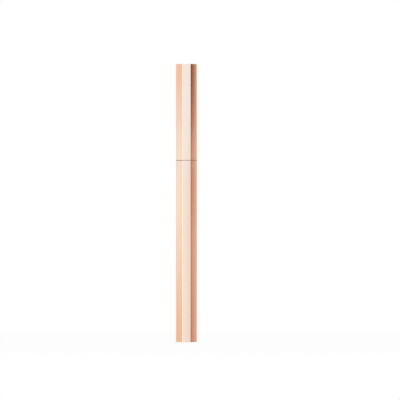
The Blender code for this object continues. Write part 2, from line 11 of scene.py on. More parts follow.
import bmesh
import bpy
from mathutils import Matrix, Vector


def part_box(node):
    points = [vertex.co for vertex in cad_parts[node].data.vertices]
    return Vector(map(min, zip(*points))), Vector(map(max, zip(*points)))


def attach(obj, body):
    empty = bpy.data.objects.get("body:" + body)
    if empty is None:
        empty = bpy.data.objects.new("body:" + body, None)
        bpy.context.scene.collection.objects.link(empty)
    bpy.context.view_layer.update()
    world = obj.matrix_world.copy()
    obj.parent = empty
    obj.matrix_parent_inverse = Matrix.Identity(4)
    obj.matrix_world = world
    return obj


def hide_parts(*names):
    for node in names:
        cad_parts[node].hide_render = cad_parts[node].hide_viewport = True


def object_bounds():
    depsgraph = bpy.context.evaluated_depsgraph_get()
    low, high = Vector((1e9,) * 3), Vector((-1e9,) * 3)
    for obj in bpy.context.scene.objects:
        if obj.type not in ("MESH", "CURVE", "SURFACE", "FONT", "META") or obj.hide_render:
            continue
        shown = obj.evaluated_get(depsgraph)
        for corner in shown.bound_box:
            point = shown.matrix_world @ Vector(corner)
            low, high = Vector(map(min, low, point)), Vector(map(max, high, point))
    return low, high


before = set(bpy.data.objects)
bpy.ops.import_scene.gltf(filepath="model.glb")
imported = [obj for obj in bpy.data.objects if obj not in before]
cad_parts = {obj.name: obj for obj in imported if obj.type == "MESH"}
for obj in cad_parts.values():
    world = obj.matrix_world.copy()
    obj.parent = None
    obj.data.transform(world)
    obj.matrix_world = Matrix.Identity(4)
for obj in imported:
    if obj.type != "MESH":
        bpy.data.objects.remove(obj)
cad_low, cad_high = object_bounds()

# The photograph's frame, in its pixels
PHOTO_SIDE = 400
PEN_MIDDLE_X = 186.5
PEN_TOP_Y = 64.0
PEN_BASE_Y = 342.0
CAMERA_DISTANCE = 3.0
SENSOR_MM = 36.0

# Octagonal case
FACETS = 8
CASE_APOTHEM = (cad_high.x - cad_low.x) / 2
CASE_WALL = 0.0006
FACET_CURVE = 0.026
ARRIS_RADIUS = 0.00045
BORE_ARRIS_RADIUS = 0.0002
END_ROUNDING = 0.00014
BARREL_RIM_ROUNDING = 0.00012
CAP_RIM_ROUNDING = 0.0002
SEAM_GAP = 0.00001
SUPPORT = 0.00008
FLAT_STEPS = 14
ARRIS_STEPS = 8
ROUNDING_STEPS = 5
CASE_RINGS = 24

# Marks on the case's points, which tell its finish the flats from the edges, and where it paints highlight
# and shade
EDGE_LAYER = "edge"
# Cut rims and the bore inside them: darkened with painted shade, as in the seam
SHADED_CUT = -1.0
FLAT = 0.0
# Arrises and the barrel's mouth rim: paler with wear and with a painted highlight
WORN_AND_HIGHLIT = 1.0
# Rounding of the closed end: greyed and darkened with painted shade
SHADED_END_RIM = 2.0

# Black front end
TURNED_SEGMENTS = 96
SMALL_ROUNDING = 0.00007
SMALL_STEPS = 4
COLLAR_RADIUS = 0.0035
COLLAR_BORE = 0.0027
SPIGOT_RADIUS = 0.00305
FLANGE_HEIGHT = 0.0008
BEAD_STEP = 0.000075
BEAD_HEIGHT = 0.001
BEAD_STEPS = 12
SECTION_TAIL_RADIUS = 0.0025
SECTION_BORE = 0.0021
SECTION_SEAM = 0.00002
CONE_SETBACK = 0.000125
CONE_TIP_RADIUS = 0.002325
CONE_BEND = 1.2
CONE_STEPS = 24
SHOULDER_HEIGHT = 0.00115
SHOULDER_INSET = 0.0003
SHOULDER_STEPS = 12
MOUTH_RADIUS = 0.001825
HOLDER_NECK = 0.0045
HOLDER_SEAT = 0.0003
HOLDER_NECK_RADIUS = 0.001675
HOLDER_TIP_RADIUS = 0.00135
HOLDER_SWELL = 0.00005
HOLDER_STEPS = 14
HOLDER_COUNTERBORE = 0.0028
COUNTERBORE_RADIUS = 0.00155
BRUSH_BORE = 0.00112

# Brush
BUTT_RADIUS = 0.00097
BUTT_RECESS = 0.0006
BUTT_FLANGE = 0.0011
BUTT_SOCKET = 0.0007
CORE_BORE = 0.0008
FILAMENTS = 720
FILAMENT_SIDES = 4
FILAMENT_RINGS = 9
FILAMENT_PACK = 0.6
FILAMENT_LAP = 0.00015
BRUSH_SEED = 7
POINT_LENGTH = 0.00625
POINT_BEND = 1.95
POINT_BLUNT = 0.03
POINT_STAGGER = 0.2
FILAMENT_SWAY = 0.05
GOLDEN_RATIO = (1 + math.sqrt(5)) / 2

# Inner pieces
FIT = 0.0002
SEAT = 0.0003
PLUG_RIBS = 2
PLUG_RIB = 0.0002
PLUG_RIB_HEIGHT = 0.0008
PLUG_WALL = 0.0008
PLUG_TOP = 0.001
BALL_STEPS = 40
CORE_ROUNDING = 0.0001
COLLECTOR_SPIGOT = 0.003
COLLECTOR_SPIGOT_RADIUS = 0.0015
COMB_CORE_RADIUS = 0.0019
COMB_SEGMENTS = 72
FINS = 21
FIN_THICKNESS = 0.0004
FIN_STEPS = 2
END_DISC = 0.001
INK_SLOT_WIDTH = 0.0003
INK_SLOT_FLOOR = 0.0013
AIR_SLOT_WIDTH = 0.0009
AIR_SLOT_DEPTH = 0.0008
OVERRUN = 0.001
INNER_CAP_WALL = 0.0006
INNER_CAP_TOP = 0.0007
SEAL_LIP_HEIGHT = 0.0008

# Floor
FLOOR_RADIUS = 0.34
FLOOR_CLEAR_RADIUS = 0.12
FLOOR_DROP = 0.00002
FLOOR_SEGMENTS = 64
FLOOR_WHITE = 0.85

# Finishes. A grain is given as noise cells to the metre along x, y and z, a relief as its depth, and
# tones, roughness and shares in pairs: where the noise is weakest and where it is strongest. Lines and
# patches begin to show at the first noise level of their pair, and show in full at the second.
NOISE_MIDDLE = 0.5
WHITE = (1, 1, 1, 1)
BLACK = (0, 0, 0, 1)

# Satin anodising, whose dye, with painted shade along it, is given from the low end of each piece to its
# high end
BARREL_TINTS_AND_SHADE = (
    (0.0, (0.95, 0.68, 0.55)),
    (0.35, (0.965, 0.7, 0.545)),
    (0.8, (0.965, 0.7, 0.55)),
    (1.0, (0.965, 0.7, 0.575)),
)
CAP_TINTS_AND_SHADE = (
    (0.0, (0.96, 0.715, 0.555)),
    (0.5, (0.97, 0.695, 0.575)),
    (1.0, (0.965, 0.695, 0.545)),
)
DYE_CLOUD = (90, 90, 40)
DYE_DRIFT = 0.08
BRUSHING = (30000, 30000, 900)
BRUSHED_LINES = (0.35, 0.65)
BRUSHED_SHADE = 0.16
BRUSHED_DYE = (0.84, 0.54, 0.4, 1)
BLASTING = (9000, 9000, 9000)
SMUDGES = (260, 260, 120)
ARRIS_HIGHLIGHT_AND_WEAR = (0.6, 0.9)
# Paler tint of the arrises: wear with a painted highlight in it
HIGHLIGHT_AND_WEAR_TINT = (1.0, 0.94, 0.87, 1)
# Grey of the closed end's rim: painted shade
END_RIM_SHADE = (0.72, 0.69, 0.66, 1)
# Dark tint of cut rims: painted shade in the seam
SEAM_SHADE_TINT = (0.4, 0.2, 0.12, 1)
SATIN = 0.24
SMUDGE_DULLING = 0.07
BRUSHING_DULLING = 0.08
WEAR_POLISH = 0.05
CUT_DULLING = 0.25
BRUSHED_RELIEF = 0.6
SATIN_RELIEF = 0.0000014

# Moulded gloss black
FLOW_MARKS = (700, 700, 120)
FLOW_RELIEF = 0.000004
HAZE = (420, 420, 420)
HAZED_PATCHES = (0.45, 0.8)
HAZE_DULLING = 0.07
GLOSS_BLACKS = ((0.0065, 0.0062, 0.0055, 1), (0.034, 0.031, 0.027, 1))

# Matt black linings
SPARKING = (6000, 6000, 6000)
SPARKING_RELIEF = 0.000004
LINING_CLOUD = (300, 300, 150)
LINING_BLACKS = ((0.014, 0.014, 0.015, 1), (0.03, 0.03, 0.031, 1))
LINING_ROUGHNESS = (0.42, 0.58)

# Undyed plastic
MILKY_CLOUD = (500, 500, 220)
MILKY_TONES = ((0.66, 0.66, 0.62, 1), (0.8, 0.8, 0.77, 1))
MILKY_ROUGHNESS = (0.38, 0.52)
MILKY_RELIEF = 0.000006
MILKY_GLOW = 0.25
MILKY_GLOW_DEPTH = 0.0008
INK_FILM = (650, 650, 260)
INK_FILM_PATCHES = (0.35, 0.75)
INK_ON_PLASTIC = (0.05, 0.048, 0.05, 1)

# Steel of the ball
TUMBLING = (9000, 2500, 900)
TUMBLING_RELIEF = 0.000002
STEEL_CLOUD = (900, 900, 900)
STEEL_TONES = ((0.56, 0.56, 0.57, 1), (0.68, 0.67, 0.66, 1))
STEEL_ROUGHNESS = (0.1, 0.26)

# Bonded fibre of the core
ROD_FIBRES = (16000, 16000, 500)
ROD_RELIEF = 0.00002
ROD_TONES = ((0.62, 0.61, 0.57, 1), (0.86, 0.85, 0.82, 1))
ROD_ROUGHNESS = (0.75, 0.95)
INK_RUNS = (2200, 2200, 160)
INK_RUN_PATCHES = (0.3, 0.7)
INK_RUN_SHARES = (0.45, 0.95)
INK_IN_FIBRE = (0.04, 0.038, 0.04, 1)

# Brush filaments, from the root to the tip
FILAMENT_TINTS = (
    (0.0, (0.026, 0.025, 0.023)),
    (0.55, (0.038, 0.037, 0.034)),
    (1.0, (0.052, 0.051, 0.048)),
)
STREAKS = (7000, 7000, 350)
STREAK_DRIFT = 0.3
STREAK_RELIEF = 0.000006
FILAMENT_ROUGHNESS = (0.42, 0.67)
FILAMENT_GLEAM = 0.4

# Paper of the floor
PAPER = (400, 400, 400)
PAPER_TONES = ((0.86, 0.86, 0.86, 1), (0.9, 0.9, 0.9, 1))

# Light tent: a cloth wall round the pen, lit from outside
TENT_RADIUS = 0.15
TENT_LOW = -0.12
TENT_HIGH = 0.22
TENT_SEGMENTS = 96
# Light through the cloth by degrees round the pen from the camera's side, towards the right
TENT_LIGHT = (
    (-180, (1.0, 1.0, 1.0)),
    (-135, (0.9, 0.87, 0.84)),
    (-114, (0.5, 0.4, 0.34)),
    (-99, (1.04, 1.07, 1.02)),
    (-77, (1.04, 1.08, 1.02)),
    (-66, (0.44, 0.47, 0.45)),
    (-54, (0.84, 0.93, 0.89)),
    (-40, (1.5, 1.52, 1.38)),
    (-24, (1.22, 1.37, 1.38)),
    (-9, (0.95, 1.14, 1.28)),
    (0, (0.92, 1.06, 1.13)),
    (7, (0.94, 1.0, 1.01)),
    (19, (1.17, 0.7, 0.48)),
    (36, (0.63, 0.38, 0.28)),
    (60, (0.5, 0.32, 0.25)),
    (77, (0.18, 0.085, 0.055)),
    (85, (0.85, 0.52, 0.35)),
    (94, (0.69, 0.49, 0.365)),
    (100, (0.75, 0.79, 0.8)),
    (106, (0.76, 0.85, 0.88)),
    (118, (0.71, 0.68, 0.65)),
    (140, (0.94, 0.92, 0.9)),
    (180, (1.0, 1.0, 1.0)),
)
# How the cloth on the right is graded by height, as a share of the pen's length
TENT_RIGHT = (
    (0.0, (1.0, 0.96, 1.22)),
    (0.15, (1.02, 1.1, 1.43)),
    (0.38, (1.08, 1.3, 1.7)),
    (0.6, (0.82, 0.76, 0.64)),
    (0.69, (1.35, 1.45, 2.1)),
    (0.78, (0.74, 0.56, 0.37)),
    (0.9, (0.51, 0.27, 0.115)),
    (1.0, (0.31, 0.09, 0.03)),
)
TENT_WARM = (0.98, 0.68, 0.48, 1)
TENT_COOL = (0.95, 1.2, 1.36, 1)
TENT_CROWN = (0.66, 0.64, 0.62, 1)
TENT_CROWN_RIGHT = (0.42, 0.38, 0.35, 1)
# Where its sides start or end, in turns from the camera's side
LEFT_STARTS = (0.12, 0.2)
AHEAD_ENDS = (0.03, 0.07)
RIGHT_STARTS = (0.06, 0.12)
RIGHT_ENDS = (0.22, 0.28)
RIGHT_CROWN_ENDS = (0.35, 0.45)
# Where its warm ends, its cool part and its crown start or end, as shares of the pen's length
WARM_FOOT_ENDS = (-0.06, 0.5)
WARM_HEAD_STARTS = (0.68, 1.02)
WARM_HEAD_SHARE = 0.8
COOL_STARTS = (0.5, 0.9)
CROWN_STARTS = (1.2, 1.45)

WORLD_FILL = 0.85
WHITE_RAYS = ("Is Camera Ray", "Is Glossy Ray", "Is Transmission Ray")

# Lamps: name, degrees round the pen, distance, height, size, radiance, colour and the group they light.
# The case has no lamp of its own: its bands of light come from the tent.
SOFTBOXES = (
    ("overhead_softbox", -30, 0.15, 0.7, (0.5, 0.5), 1.2, (1.0, 1.0, 1.0), None),
    ("left_gleam", -33, 0.135, 0.105, (0.045, 0.15), 15.0, (1.0, 1.0, 0.96), "front_end"),
    ("right_gleam", 92, 0.135, 0.105, (0.06, 0.15), 3.2, (1.0, 1.0, 0.97), "front_end"),
)

SHARP_ANGLE = math.radians(40)


class Wire:
    """What one node's output carries. Python's operators on a number add Math nodes."""

    def __init__(self, finish, socket):
        self.finish = finish
        self.socket = socket

    def maths(self, operation, *values):
        return self.finish.node("ShaderNodeMath", {"operation": operation}, dict(enumerate(values)))

    def __add__(self, other):
        return self.maths("ADD", self, other)

    def __sub__(self, other):
        return self.maths("SUBTRACT", self, other)

    def __rsub__(self, other):
        return self.maths("SUBTRACT", other, self)

    def __mul__(self, other):
        return self.maths("MULTIPLY", self, other)

    def __truediv__(self, other):
        return self.maths("DIVIDE", self, other)

    def __rtruediv__(self, other):
        return self.maths("DIVIDE", other, self)

    def __neg__(self):
        return self * -1

    __radd__ = __add__
    __rmul__ = __mul__

    def rise(self, low, high):
        """0 below low, 1 above high, and smooth between them."""
        sockets = {"Value": self, "From Min": low, "From Max": high}
        return self.finish.node("ShaderNodeMapRange", {"interpolation_type": "SMOOTHSTEP"}, sockets)

    def spread(self, least, most):
        """The least where this is 0, the most where it is 1, and in step between them."""
        return least + (most - least) * self


class Finish:
    """The node tree of one material or of the world, while it is made."""

    def __init__(self, tree):
        self.tree = tree
        tree.nodes.clear()

    def node(self, kind, settings=None, sockets=None, output=0):
        """Adds a node, sets its settings, then fills its sockets with values or links."""
        made = self.tree.nodes.new(kind)
        for name, value in (settings or {}).items():
            if name == "stops":
                set_stops(made.color_ramp, value)
            else:
                setattr(made, name, value)
        for name, value in (sockets or {}).items():
            if isinstance(value, Wire):
                self.tree.links.new(value.socket, made.inputs[name])
            else:
                made.inputs[name].default_value = value
        return Wire(self, made.outputs[output]) if made.outputs else None

    def object_place(self):
        return self.node("ShaderNodeTexCoord", output="Object")

    def axis(self, place, name):
        return self.node("ShaderNodeSeparateXYZ", sockets={0: place}, output=name)

    def noise(self, place, grain, detail, roughness=0.5):
        """Noise with so many cells to the metre along each axis."""
        cells = self.node("ShaderNodeMapping", {"vector_type": "POINT"}, {"Vector": place, "Scale": grain})
        sockets = {"Vector": cells, "Scale": 1.0, "Detail": detail, "Roughness": roughness}
        return self.node("ShaderNodeTexNoise", sockets=sockets)

    def ramp(self, factor, stops):
        return self.node("ShaderNodeValToRGB", {"stops": stops}, {0: factor})

    def mix(self, factor, first, second, blend="MIX"):
        settings = {"data_type": "RGBA", "blend_type": blend}
        return self.node("ShaderNodeMix", settings, {0: factor, 6: first, 7: second}, 2)

    def bump(self, height, relief):
        return self.node("ShaderNodeBump", sockets={"Height": height, "Distance": relief})

    def principled(self, **sockets):
        named = {name.replace("_", " "): value for name, value in sockets.items()}
        return self.node("ShaderNodeBsdfPrincipled", sockets=named)

    def white_rays(self):
        """1 for the rays that see the studio white: the camera's, and what gleams or is clear."""
        return sum(self.node("ShaderNodeLightPath", output=name) for name in WHITE_RAYS)

    def surface(self, shader):
        self.node("ShaderNodeOutputMaterial", sockets={"Surface": shader})


def set_stops(ramp, stops):
    """Gives a ramp its stops, with its colours eased from each to the next."""
    ramp.interpolation = "EASE"
    while len(ramp.elements) > 1:
        ramp.elements.remove(ramp.elements[-1])
    ramp.elements[0].position = stops[0][0]
    ramp.elements[0].color = (*stops[0][1], 1)
    for position, colour in stops[1:]:
        ramp.elements.new(position).color = (*colour, 1)


def new_material(name):
    material = bpy.data.materials.new(name)
    material.use_nodes = True
    return material, Finish(material.node_tree)


def anodised(name, low, high, tints_and_shade):
    """Satin anodised aluminium.

    The dye's tint drifts along the length with painted shade in it, the long corners are paler with wear
    and a painted highlight, the closed end's rim is greyed with painted shade, and a rim marked as cut
    is darkened with painted seam shade.
    """
    material, finish = new_material(name)
    place = finish.object_place()
    along = (finish.axis(place, "Z") - low) / (high - low)
    cloud = finish.noise(place, DYE_CLOUD, detail=3)
    # The tint ramp along the length carries painted shade as well as the dye's own drift
    tint_and_shade = finish.ramp(along + (cloud - NOISE_MIDDLE) * DYE_DRIFT, tints_and_shade)
    grain = finish.noise(place, BRUSHING, detail=3)
    blast = finish.noise(place, BLASTING, detail=2)
    smudge = finish.noise(place, SMUDGES, detail=4)
    edge = finish.node("ShaderNodeAttribute", {"attribute_name": EDGE_LAYER}, output="Fac")
    highlight_and_wear = edge.rise(FLAT, WORN_AND_HIGHLIT)
    end_rim_shade = edge.rise(WORN_AND_HIGHLIT, SHADED_END_RIM)
    # Cut rims darkened with painted seam shade
    seam_shade = (-edge).rise(FLAT, -SHADED_CUT)
    # Paler arrises and barrel rim: wear together with a painted highlight
    paler = finish.mix(highlight_and_wear * smudge.spread(*ARRIS_HIGHLIGHT_AND_WEAR), tint_and_shade, HIGHLIGHT_AND_WEAR_TINT)
    grained = finish.mix(grain.rise(*BRUSHED_LINES) * BRUSHED_SHADE, paler, BRUSHED_DYE)
    # Closed end's rim greyed with painted shade
    end_rim_shaded = finish.mix(end_rim_shade, grained, END_RIM_SHADE)
    dulling = (smudge - NOISE_MIDDLE) * SMUDGE_DULLING + (grain - NOISE_MIDDLE) * BRUSHING_DULLING
    relief = grain * BRUSHED_RELIEF + blast * (1 - BRUSHED_RELIEF)
    shader = finish.principled(
        Base_Color=finish.mix(seam_shade, end_rim_shaded, SEAM_SHADE_TINT),
        Metallic=1.0,
        Roughness=SATIN + dulling - highlight_and_wear * WEAR_POLISH + seam_shade * CUT_DULLING,
        Normal=finish.bump(relief, SATIN_RELIEF),
    )
    finish.surface(shader)
    return material


def gloss_black(name, mottle, polish, gleam):
    """Moulded black, with faint flow marks along it and a dulled touch here and there.

    Mottle is how much its haze greys it, polish its least roughness, and gleam how strongly it mirrors.
    """
    material, finish = new_material(name)
    place = finish.object_place()
    flow = finish.noise(place, FLOW_MARKS, detail=3)
    haze = finish.noise(place, HAZE, detail=4, roughness=0.6)
    shader = finish.principled(
        Base_Color=finish.mix(haze * mottle, *GLOSS_BLACKS),
        Roughness=polish + haze.rise(*HAZED_PATCHES) * HAZE_DULLING,
        Specular_IOR_Level=gleam,
        Normal=finish.bump(flow, FLOW_RELIEF),
    )
    finish.surface(shader)
    return material


def matt_black(name):
    """Moulded black lining, sparked to a fine matt."""
    material, finish = new_material(name)
    place = finish.object_place()
    spark = finish.noise(place, SPARKING, detail=2)
    cloud = finish.noise(place, LINING_CLOUD, detail=3)
    shader = finish.principled(
        Base_Color=finish.mix(cloud, *LINING_BLACKS),
        Roughness=spark.spread(*LINING_ROUGHNESS),
        Normal=finish.bump(spark, SPARKING_RELIEF),
    )
    finish.surface(shader)
    return material


def natural_plastic(name, inked):
    """Undyed milky plastic, a little uneven in depth, with so much ink crept over it."""
    material, finish = new_material(name)
    place = finish.object_place()
    cloud = finish.noise(place, MILKY_CLOUD, detail=4)
    film = finish.noise(place, INK_FILM, detail=3)
    milky = finish.mix(cloud, *MILKY_TONES)
    shader = finish.principled(
        Base_Color=finish.mix(film.rise(*INK_FILM_PATCHES) * inked, milky, INK_ON_PLASTIC),
        Roughness=cloud.spread(*MILKY_ROUGHNESS),
        Subsurface_Weight=MILKY_GLOW,
        Subsurface_Scale=MILKY_GLOW_DEPTH,
        Normal=finish.bump(cloud, MILKY_RELIEF),
    )
    finish.surface(shader)
    return material


def steel(name):
    """Polished steel with fine tumbling scratches."""
    material, finish = new_material(name)
    place = finish.object_place()
    scratch = finish.noise(place, TUMBLING, detail=4)
    cloud = finish.noise(place, STEEL_CLOUD, detail=2)
    shader = finish.principled(
        Base_Color=finish.mix(cloud, *STEEL_TONES),
        Metallic=1.0,
        Roughness=scratch.spread(*STEEL_ROUGHNESS),
        Normal=finish.bump(scratch, TUMBLING_RELIEF),
    )
    finish.surface(shader)
    return material


def bonded_fibre(name):
    """Parallel fibres bonded into a rod, grey where ink has run along them."""
    material, finish = new_material(name)
    place = finish.object_place()
    fibre = finish.noise(place, ROD_FIBRES, detail=3)
    run = finish.noise(place, INK_RUNS, detail=3)
    wet = run.rise(*INK_RUN_PATCHES).spread(*INK_RUN_SHARES)
    shader = finish.principled(
        Base_Color=finish.mix(wet, finish.mix(fibre, *ROD_TONES), INK_IN_FIBRE),
        Roughness=fibre.spread(*ROD_ROUGHNESS),
        Normal=finish.bump(fibre, ROD_RELIEF),
    )
    finish.surface(shader)
    return material


def inked_filament(name, root, tip):
    """Nylon filaments black with ink, which thins and greys towards the point."""
    material, finish = new_material(name)
    place = finish.object_place()
    along = (finish.axis(place, "Z") - root) / (tip - root)
    streak = finish.noise(place, STREAKS, detail=3)
    shader = finish.principled(
        Base_Color=finish.ramp(along + (streak - NOISE_MIDDLE) * STREAK_DRIFT, FILAMENT_TINTS),
        Roughness=streak.spread(*FILAMENT_ROUGHNESS),
        Specular_IOR_Level=FILAMENT_GLEAM,
        Normal=finish.bump(streak, STREAK_RELIEF),
    )
    finish.surface(shader)
    return material


def place_object(name, data):
    """Puts a mesh, a lamp or a camera into the scene."""
    made = bpy.data.objects.new(name, data)
    bpy.context.scene.collection.objects.link(made)
    return made


def place_solid(name, solid):
    """Puts what has been modelled into the scene as a piece."""
    mesh = bpy.data.meshes.new(name)
    solid.to_mesh(mesh)
    solid.free()
    return place_object(name, mesh)


def smooth(piece):
    """Shades a piece smooth, apart from its sharp edges."""
    piece.data.shade_smooth()
    piece.data.set_sharp_from_angle(angle=SHARP_ANGLE)


def outward(turn):
    """The level direction from the pen's axis at so many radians from +X."""
    return Vector((math.cos(turn), math.sin(turn), 0))


def beside_pen(turn, distance, height):
    """A place so many radians round the pen from the camera's side, towards the right."""
    return Vector((math.sin(turn) * distance, -math.cos(turn) * distance, height))


def arc(centre, radii, start, end, steps):
    """Points along a stretch of an ellipse, both ends included."""
    points = []
    for step in range(steps + 1):
        angle = start + (end - start) * step / steps
        points.append((centre[0] + radii[0] * math.cos(angle), centre[1] + radii[1] * math.sin(angle)))
    return points


def facet_outline(inset, arris_radius):
    """The crowned octagon, so far inside the case's own, as (x, y, mark) round its rim."""
    curve = FACET_CURVE - inset
    centre = CASE_APOTHEM - FACET_CURVE
    half = math.pi / FACETS
    crown = half - math.asin(-centre * math.sin(half) / (curve - arris_radius))
    points = []
    for facet in range(FACETS):
        middle = 2 * half * facet
        flat_centre = outward(middle) * centre
        flat = arc(flat_centre, (curve, curve), middle - crown, middle + crown, FLAT_STEPS)
        points += [(x, y, FLAT) for x, y in flat]
        corner = flat_centre + outward(middle + crown) * (curve - arris_radius)
        radii = (arris_radius, arris_radius)
        arris = arc(corner, radii, middle + crown, middle + 2 * half - crown, ARRIS_STEPS)
        points += [(x, y, WORN_AND_HIGHLIT) for x, y in arris[1:-1]]
    return points


def case_levels(closed, mouth, easing, rim):
    """(inset, height, mark) from the middle of the closed end, out, along and into the bore.

    The heights run from the closed end to the mouth, which may be above or below it. The rim of the
    mouth is eased by so much and has its own mark.
    """
    way = 1 if mouth > closed else -1
    levels = [(END_ROUNDING + SUPPORT, closed, FLAT)]
    # The closed end's rounding is marked for painted shade
    for step in range(ROUNDING_STEPS + 1):
        turn = math.pi / 2 * step / ROUNDING_STEPS
        height = closed + way * END_ROUNDING * (1 - math.cos(turn))
        levels.append((END_ROUNDING * (1 - math.sin(turn)), height, SHADED_END_RIM))
    start = closed + way * (END_ROUNDING + SUPPORT)
    end = mouth - way * (easing + SUPPORT)
    for ring in range(CASE_RINGS + 1):
        levels.append((0, start + (end - start) * ring / CASE_RINGS, FLAT))
    for step in range(ROUNDING_STEPS + 1):
        turn = math.pi / 2 * step / ROUNDING_STEPS
        height = mouth - way * easing * (1 - math.sin(turn))
        levels.append((easing * (1 - math.cos(turn)), height, rim))
    levels.append((CASE_WALL - BARREL_RIM_ROUNDING, mouth, rim))
    # Inside the bore: painted shade, darkest just inside the mouth and fading towards the closed end
    levels.append((CASE_WALL, mouth - way * BARREL_RIM_ROUNDING, SHADED_CUT))
    levels.append((CASE_WALL, closed + way * CASE_WALL, FLAT))
    return levels


def make_case(name, closed, mouth, easing, rim):
    """Half of the case as a loft of octagons: closed end, outside, mouth and bore."""
    solid = bmesh.new()
    edge_layer = solid.verts.layers.float.new(EDGE_LAYER)
    rings = []
    for inset, height, mark in case_levels(closed, mouth, easing, rim):
        arris_radius = max(ARRIS_RADIUS - inset, BORE_ARRIS_RADIUS)
        ring = []
        for x, y, arris in facet_outline(inset, arris_radius):
            point = solid.verts.new((x, y, height))
            point[edge_layer] = mark if mark < FLAT else max(mark, arris)
            ring.append(point)
        rings.append(ring)
    count = len(rings[0])
    for lower, upper in zip(rings, rings[1:]):
        for index in range(count):
            following = (index + 1) % count
            solid.faces.new((lower[index], lower[following], upper[following], upper[index]))
    solid.faces.new(reversed(rings[0]))
    solid.faces.new(rings[-1])
    if mouth < closed:
        bmesh.ops.reverse_faces(solid, faces=solid.faces)
    case = place_solid(name, solid)
    smooth(case)
    return case


def turned(name, profile, segments=TURNED_SEGMENTS):
    """A solid of revolution about Z from (radius, height) points that run down its outer side first.

    The profile closes on itself, and points of no radius are shared by all its columns.
    """
    solid = bmesh.new()
    poles = {index: solid.verts.new((0, 0, z)) for index, (radius, z) in enumerate(profile) if radius == 0}
    columns = []
    for segment in range(segments):
        turn = math.tau * segment / segments
        column = []
        for index, (radius, z) in enumerate(profile):
            place = (radius * math.cos(turn), radius * math.sin(turn), z)
            column.append(poles[index] if index in poles else solid.verts.new(place))
        columns.append(column)
    for index, column in enumerate(columns):
        beside = columns[(index + 1) % segments]
        for low in range(len(profile)):
            high = (low + 1) % len(profile)
            corners = dict.fromkeys((column[low], column[high], beside[high], beside[low]))
            if len(corners) > 2:
                solid.faces.new(corners)
    piece = place_solid(name, solid)
    smooth(piece)
    return piece


def rounded(corner, back, ahead, radius=SMALL_ROUNDING, steps=SMALL_STEPS):
    """A profile's corner eased by points between its two neighbours' directions."""
    corner = Vector(corner)
    start = (Vector(back) - corner).normalized() * radius
    end = (Vector(ahead) - corner).normalized() * radius
    points = []
    for step in range(steps + 1):
        share = step / steps
        point = corner + start * (1 - share) ** 2 + end * share**2
        points.append((point.x, point.y))
    return points


def eased(profile, radius=SMALL_ROUNDING, steps=SMALL_STEPS):
    """The closed profile with each corner eased, apart from the ones on the axis."""
    points = []
    for index, corner in enumerate(profile):
        if corner[0] == 0:
            points.append(corner)
        else:
            ahead = profile[(index + 1) % len(profile)]
            points += rounded(corner, profile[index - 1], ahead, radius, steps)
    return points


def block(name, low, high):
    """A box between two corners, which cuts a slot."""
    solid = bmesh.new()
    bmesh.ops.create_cube(solid, size=1.0)
    bmesh.ops.scale(solid, vec=high - low, verts=solid.verts)
    bmesh.ops.translate(solid, vec=(low + high) / 2, verts=solid.verts)
    return place_solid(name, solid)


def cut_out(piece, *cutters):
    """Takes the cutters out of a piece and removes them."""
    for cutter in cutters:
        piece.modifiers.new(cutter.name, "BOOLEAN").object = cutter
    seen = piece.evaluated_get(bpy.context.evaluated_depsgraph_get())
    mesh = bpy.data.meshes.new_from_object(seen)
    piece.modifiers.clear()
    piece.data = mesh
    smooth(piece)
    for cutter in cutters:
        bpy.data.objects.remove(cutter)


barrel_low, barrel_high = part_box("barrel_shell")
cap_low, cap_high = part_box("cap_shell")
collar_low, collar_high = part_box("joint_collar")
section_low, section_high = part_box("section")
holder_low, holder_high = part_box("nib_holder")
brush_low, brush_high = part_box("brush")


def make_collar():
    """The black collar: a flange on the barrel's mouth, and the click bead near its top."""
    top = collar_high.z
    flange = collar_high.x
    seat = barrel_high.z
    flange_top = seat + FLANGE_HEIGHT
    bead_middle = (COLLAR_RADIUS, top - BEAD_HEIGHT / 2)
    bead_radii = (BEAD_STEP, BEAD_HEIGHT / 2)
    profile = rounded((COLLAR_BORE, top), (COLLAR_BORE, collar_low.z), (COLLAR_RADIUS, top))
    profile += arc(bead_middle, bead_radii, math.pi / 2, -math.pi / 2, BEAD_STEPS)
    profile.append((COLLAR_RADIUS, flange_top))
    profile += rounded((flange, flange_top), (COLLAR_RADIUS, flange_top), (flange, seat))
    profile += rounded((flange, seat), (flange, flange_top), (SPIGOT_RADIUS, seat))
    profile += [(SPIGOT_RADIUS, seat), (SPIGOT_RADIUS, collar_low.z), (COLLAR_BORE, collar_low.z)]
    return turned("collar_gloss", profile)


def cone_radius(height):
    """The section's radius at a height on its cone, which bends in a little from its base."""
    base = collar_high.z + SECTION_SEAM
    share = max((height - base) / (section_high.z - SHOULDER_HEIGHT - base), 0)
    base_radius = COLLAR_RADIUS - CONE_SETBACK
    return base_radius - (base_radius - CONE_TIP_RADIUS) * share**CONE_BEND


def make_section():
    """The long black cone, which rolls over into its mouth, with the tail that seats in the collar."""
    top = section_high.z
    base = collar_high.z + SECTION_SEAM
    shoulder = top - SHOULDER_HEIGHT
    crest = CONE_TIP_RADIUS - SHOULDER_INSET
    neck = top - HOLDER_NECK
    roll = (SHOULDER_INSET, SHOULDER_HEIGHT)
    profile = rounded((MOUTH_RADIUS, top), (MOUTH_RADIUS, neck), (crest, top))
    profile += arc((crest, shoulder), roll, math.pi / 2, 0, SHOULDER_STEPS)
    heights = [shoulder + (base - shoulder) * step / CONE_STEPS for step in range(1, CONE_STEPS + 1)]
    cone = [(cone_radius(height), height) for height in heights]
    profile += cone[:-1]
    profile += rounded(cone[-1], cone[-2], (SECTION_TAIL_RADIUS, base))
    profile += [
        (SECTION_TAIL_RADIUS, base),
        (SECTION_TAIL_RADIUS, section_low.z),
        (SECTION_BORE, section_low.z),
        (SECTION_BORE, neck),
        (MOUTH_RADIUS, neck),
    ]
    return turned("section_gloss", profile)


